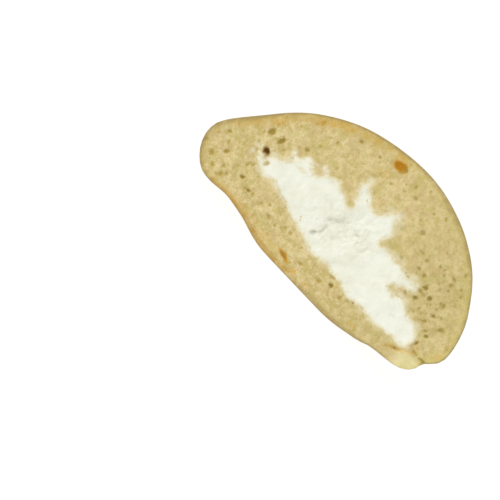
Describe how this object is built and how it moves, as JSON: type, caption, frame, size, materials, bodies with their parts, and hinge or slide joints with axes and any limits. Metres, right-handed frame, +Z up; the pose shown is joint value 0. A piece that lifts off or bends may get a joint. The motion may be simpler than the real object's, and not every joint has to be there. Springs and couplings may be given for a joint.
{
  "type": "filled doughnut half",
  "caption": "Half of a round baked doughnut, cut down its middle, with a ragged core of white whipped cream showing in the pale porous crumb.",
  "frame": {"origin": "on the surface that the half rests on, under the middle of its bounding box", "axes": "+X along the base of the cut towards the torn lip, -Y out of the cut face, +Z up"},
  "size_m": [0.092, 0.0462, 0.0485],
  "materials": {
    "dough": "matte porous crumb inside a thin satin golden crust",
    "cream": "soft whipped cream, slightly moist"
  },
  "bodies": {
    "root": {"dough": "dough", "cream": "cream"}
  },
  "joints": []
}
